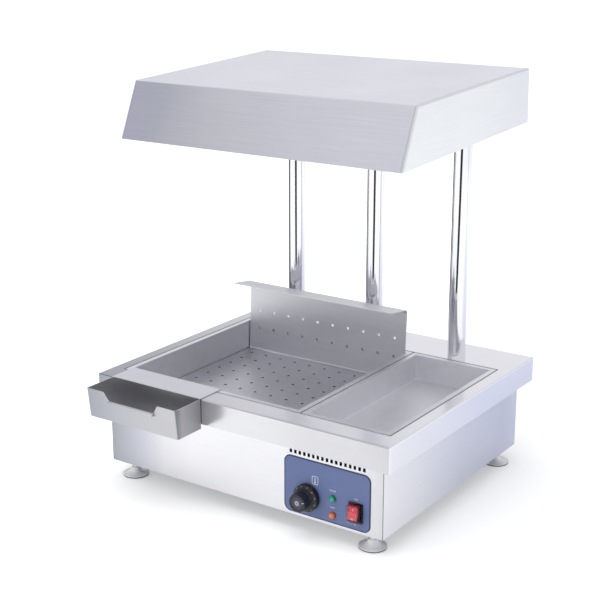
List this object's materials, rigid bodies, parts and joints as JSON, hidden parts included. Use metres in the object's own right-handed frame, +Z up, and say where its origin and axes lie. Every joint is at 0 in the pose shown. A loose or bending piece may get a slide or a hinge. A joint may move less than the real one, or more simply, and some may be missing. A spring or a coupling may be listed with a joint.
{
  "type": "chip warmer",
  "caption": "Countertop warmer for fried food: lift-out pans in a heated deck, a perforated drain guard, a hang-on seasoning bin, and a lamp hood on three posts.",
  "frame": {"origin": "on the bench, under the middle of the whole outline", "axes": "+Z up, the control panel faces -Y, the small pan is on the +X side"},
  "size_m": [0.58, 0.568, 0.6979],
  "materials": {
    "stainless": "brushed along each sheet's length",
    "polished_chrome": "mirror polished",
    "galvanised": "dull zinc coat",
    "element_steel": "heat darkened",
    "porcelain": "glazed",
    "lamp_glass": "frosted, silvered inside the neck",
    "lamp_brass": "plain",
    "copper": "plain copper",
    "blue_film": "fine matt film with a dark outline",
    "black_plastic": "satin moulding",
    "green_lens": "clear green moulding",
    "orange_lens": "clear orange moulding",
    "red_lens": "clear red moulding",
    "clear_vinyl": "clear soft moulding",
    "nylon": "plain moulding",
    "cable_sheath": "glass braid sleeve"
  },
  "bodies": {
    "chassis": {"base_plate": "galvanised", "front_panel": "stainless", "left_panel": "stainless", "right_panel": "stainless", "rear_panel": "stainless", "top_frame": "stainless", "pan_ledge": "galvanised", "divider_bar": "galvanised", "heated_well": "galvanised", "heating_element": "element_steel", "element_clips": "galvanised", "post_rail": "galvanised", "post_left": "polished_chrome", "post_centre": "polished_chrome", "post_right": "polished_chrome", "post_lower_nuts": "galvanised", "post_upper_nuts": "galvanised", "hood_skin": "stainless", "hood_left_side": "stainless", "hood_right_side": "stainless", "hood_rear": "stainless", "hood_rail": "galvanised", "lamp_bridge": "galvanised", "lamp_holder_left": "porcelain", "lamp_holder_right": "porcelain", "lamp_left": "lamp_glass", "lamp_right": "lamp_glass", "lamp_caps": "lamp_brass", "control_overlay": "blue_film", "thermostat": "black_plastic", "sensor_bulb": "copper", "sensor_clips": "galvanised", "pilot_green": "green_lens", "pilot_orange": "orange_lens", "pilot_nuts": "galvanised", "switch_housing": "black_plastic", "switch_cover": "clear_vinyl", "terminal_block": "nylon", "lamp_lead_left": "cable_sheath", "lamp_lead_right": "cable_sheath", "control_loom": "cable_sheath", "cable_gland": "black_plastic", "gland_nut": "black_plastic", "foot_nuts": "galvanised", "body_screws": "polished_chrome", "hood_screws": "polished_chrome"},
    "large_pan": {"large_pan": "stainless"},
    "small_pan": {"small_pan": "stainless"},
    "guard": {"drain_guard": "stainless"},
    "bin": {"bin_shell": "stainless", "bin_hanger": "stainless"},
    "dial": {"thermostat_shaft": "galvanised", "dial_skirt": "black_plastic", "knob_grip": "black_plastic"},
    "rocker": {"rocker": "red_lens"},
    "foot_front_left": {"foot_front_left": "polished_chrome"},
    "foot_front_right": {"foot_front_right": "polished_chrome"},
    "foot_rear_left": {"foot_rear_left": "polished_chrome"},
    "foot_rear_right": {"foot_rear_right": "polished_chrome"}
  },
  "joints": [
    {"name": "large_pan_lift", "type": "slide", "parent": "chassis", "child": "large_pan", "axis": [0, 0, 1], "range_m": [0, 0.08]},
    {"name": "small_pan_lift", "type": "slide", "parent": "chassis", "child": "small_pan", "axis": [0, 0, 1], "range_m": [0, 0.06]},
    {"name": "guard_lift", "type": "slide", "parent": "large_pan", "child": "guard", "axis": [0, 0, 1], "range_m": [0, 0.08]},
    {"name": "bin_lift", "type": "slide", "parent": "large_pan", "child": "bin", "axis": [0, 0, 1], "range_m": [0, 0.06]},
    {"name": "thermostat_turn", "type": "hinge", "parent": "chassis", "child": "dial", "pos_m": [0.1375, -0.2048, 0.066], "axis": [0, 1, 0], "range_deg": [0, 290]},
    {"name": "switch_rock", "type": "hinge", "parent": "chassis", "child": "rocker", "pos_m": [0.226, -0.2018, 0.0625], "axis": [1, 0, 0], "range_deg": [0, 22]},
    {"name": "foot_front_left_screw", "type": "slide", "parent": "chassis", "child": "foot_front_left", "axis": [0, 0, 1], "range_m": [-0.006, 0.006]},
    {"name": "foot_front_right_screw", "type": "slide", "parent": "chassis", "child": "foot_front_right", "axis": [0, 0, 1], "range_m": [-0.006, 0.006]},
    {"name": "foot_rear_left_screw", "type": "slide", "parent": "chassis", "child": "foot_rear_left", "axis": [0, 0, 1], "range_m": [-0.006, 0.006]},
    {"name": "foot_rear_right_screw", "type": "slide", "parent": "chassis", "child": "foot_rear_right", "axis": [0, 0, 1], "range_m": [-0.006, 0.006]}
  ]
}
